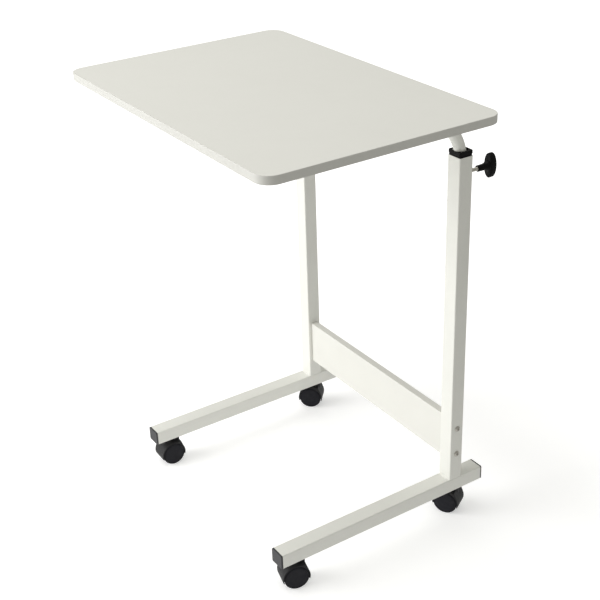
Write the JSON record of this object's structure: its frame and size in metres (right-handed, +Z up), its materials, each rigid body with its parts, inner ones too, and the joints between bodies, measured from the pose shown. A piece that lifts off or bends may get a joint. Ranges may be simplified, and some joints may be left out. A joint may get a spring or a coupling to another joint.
{
  "type": "overbed table",
  "caption": "Height-adjustable overbed table: rounded rectangular top cantilevered from two clamped posts on a wheeled U-shaped base.",
  "frame": {"origin": "centre of the overall footprint, on the floor", "axes": "+X along the long side of the top, -Y towards the open side that goes over the bed, +Z up"},
  "size_m": [0.6, 0.462, 0.746],
  "materials": {
    "white_melamine": "matt white melamine facing",
    "white_edge_plastic": "satin white PVC edge strip",
    "white_powder_coat": "satin white powder coat",
    "black_plastic": "satin black moulded plastic",
    "zinc_steel": "zinc plated",
    "natural_nylon": "natural nylon",
    "caster_hood_plastic": "matt dark grey nylon",
    "caster_wheel_plastic": "satin black nylon"
  },
  "bodies": {
    "base_frame": {"crossbar_panel": "white_melamine", "crossbar_screws": "zinc_steel", "caster_nuts": "zinc_steel", "caster_grip_rings": "zinc_steel", "post_left": "white_powder_coat", "rail_left": "white_powder_coat", "rail_cap_front_left": "black_plastic", "rail_cap_rear_left": "black_plastic", "collar_left": "black_plastic", "clamp_nut_left": "white_powder_coat", "post_right": "white_powder_coat", "rail_right": "white_powder_coat", "rail_cap_front_right": "black_plastic", "rail_cap_rear_right": "black_plastic", "collar_right": "black_plastic", "clamp_nut_right": "white_powder_coat", "caster_stem_front_left": "zinc_steel", "caster_stem_front_right": "zinc_steel", "caster_stem_rear_left": "zinc_steel", "caster_stem_rear_right": "zinc_steel"},
    "top_carriage": {"tabletop_board": "white_melamine", "tabletop_edge_band": "white_edge_plastic", "arm_end_plugs": "black_plastic", "arm_screws": "zinc_steel", "support_tube_left": "white_powder_coat", "tube_guide_left": "black_plastic", "support_tube_right": "white_powder_coat", "tube_guide_right": "black_plastic"},
    "clamp_tip_left": {"clamp_pad_left": "natural_nylon"},
    "clamp_handle_left": {"clamp_knob_left": "black_plastic", "clamp_stud_left": "zinc_steel"},
    "clamp_tip_right": {"clamp_pad_right": "natural_nylon"},
    "clamp_handle_right": {"clamp_knob_right": "black_plastic", "clamp_stud_right": "zinc_steel"},
    "caster_front_left": {"caster_hood_front_left": "caster_hood_plastic", "caster_axle_front_left": "zinc_steel"},
    "wheel_outer_front_left": {"caster_wheel_outer_front_left": "caster_wheel_plastic"},
    "wheel_inner_front_left": {"caster_wheel_inner_front_left": "caster_wheel_plastic"},
    "caster_front_right": {"caster_hood_front_right": "caster_hood_plastic", "caster_axle_front_right": "zinc_steel"},
    "wheel_outer_front_right": {"caster_wheel_outer_front_right": "caster_wheel_plastic"},
    "wheel_inner_front_right": {"caster_wheel_inner_front_right": "caster_wheel_plastic"},
    "caster_rear_left": {"caster_hood_rear_left": "caster_hood_plastic", "caster_axle_rear_left": "zinc_steel"},
    "wheel_outer_rear_left": {"caster_wheel_outer_rear_left": "caster_wheel_plastic"},
    "wheel_inner_rear_left": {"caster_wheel_inner_rear_left": "caster_wheel_plastic"},
    "caster_rear_right": {"caster_hood_rear_right": "caster_hood_plastic", "caster_axle_rear_right": "zinc_steel"},
    "wheel_outer_rear_right": {"caster_wheel_outer_rear_right": "caster_wheel_plastic"},
    "wheel_inner_rear_right": {"caster_wheel_inner_rear_right": "caster_wheel_plastic"}
  },
  "joints": [
    {"name": "top_height", "type": "slide", "parent": "base_frame", "child": "top_carriage", "axis": [0, 0, 1], "range_m": [0, 0.25]},
    {"name": "clamp_feed_left", "type": "slide", "parent": "base_frame", "child": "clamp_tip_left", "axis": [0, 1, 0], "range_m": [0, 0.0031]},
    {"name": "clamp_turn_left", "type": "hinge", "parent": "clamp_tip_left", "child": "clamp_handle_left", "pos_m": [-0.2125, 0.199, 0.629], "axis": [0, 1, 0], "range_deg": [0, 1080]},
    {"name": "clamp_feed_right", "type": "slide", "parent": "base_frame", "child": "clamp_tip_right", "axis": [0, 1, 0], "range_m": [0, 0.0031]},
    {"name": "clamp_turn_right", "type": "hinge", "parent": "clamp_tip_right", "child": "clamp_handle_right", "pos_m": [0.2125, 0.199, 0.629], "axis": [0, 1, 0], "range_deg": [0, 1080]},
    {"name": "swivel_front_left", "type": "hinge", "parent": "base_frame", "child": "caster_front_left", "pos_m": [-0.2125, -0.1465, 0.05], "axis": [0, 0, 1], "continuous": true},
    {"name": "roll_outer_front_left", "type": "hinge", "parent": "caster_front_left", "child": "wheel_outer_front_left", "pos_m": [-0.21287, -0.15699, 0.021], "axis": [0.9994, -0.0349, 0], "continuous": true},
    {"name": "roll_inner_front_left", "type": "hinge", "parent": "caster_front_left", "child": "wheel_inner_front_left", "pos_m": [-0.21287, -0.15699, 0.021], "axis": [0.9994, -0.0349, 0], "continuous": true},
    {"name": "swivel_front_right", "type": "hinge", "parent": "base_frame", "child": "caster_front_right", "pos_m": [0.2125, -0.1465, 0.05], "axis": [0, 0, 1], "continuous": true},
    {"name": "roll_outer_front_right", "type": "hinge", "parent": "caster_front_right", "child": "wheel_outer_front_right", "pos_m": [0.20978, -0.15664, 0.021], "axis": [0.9659, -0.2588, 0], "continuous": true},
    {"name": "roll_inner_front_right", "type": "hinge", "parent": "caster_front_right", "child": "wheel_inner_front_right", "pos_m": [0.20978, -0.15664, 0.021], "axis": [0.9659, -0.2588, 0], "continuous": true},
    {"name": "swivel_rear_left", "type": "hinge", "parent": "base_frame", "child": "caster_rear_left", "pos_m": [-0.2125, 0.175, 0.05], "axis": [0, 0, 1], "continuous": true},
    {"name": "roll_outer_rear_left", "type": "hinge", "parent": "caster_rear_left", "child": "wheel_outer_rear_left", "pos_m": [-0.21966, 0.16732, 0.021], "axis": [0.7314, -0.682, 0], "continuous": true},
    {"name": "roll_inner_rear_left", "type": "hinge", "parent": "caster_rear_left", "child": "wheel_inner_rear_left", "pos_m": [-0.21966, 0.16732, 0.021], "axis": [0.7314, -0.682, 0], "continuous": true},
    {"name": "swivel_rear_right", "type": "hinge", "parent": "base_frame", "child": "caster_rear_right", "pos_m": [0.2125, 0.175, 0.05], "axis": [0, 0, 1], "continuous": true},
    {"name": "roll_outer_rear_right", "type": "hinge", "parent": "caster_rear_right", "child": "wheel_outer_rear_right", "pos_m": [0.2035, 0.16959, 0.021], "axis": [0.515, -0.8572, 0], "continuous": true},
    {"name": "roll_inner_rear_right", "type": "hinge", "parent": "caster_rear_right", "child": "wheel_inner_rear_right", "pos_m": [0.2035, 0.16959, 0.021], "axis": [0.515, -0.8572, 0], "continuous": true}
  ],
  "couplings": [
    {"joint": "clamp_feed_left", "follows": "clamp_turn_left", "m_per_rad": 0.00015915},
    {"joint": "clamp_feed_right", "follows": "clamp_turn_right", "m_per_rad": 0.00015915}
  ]
}
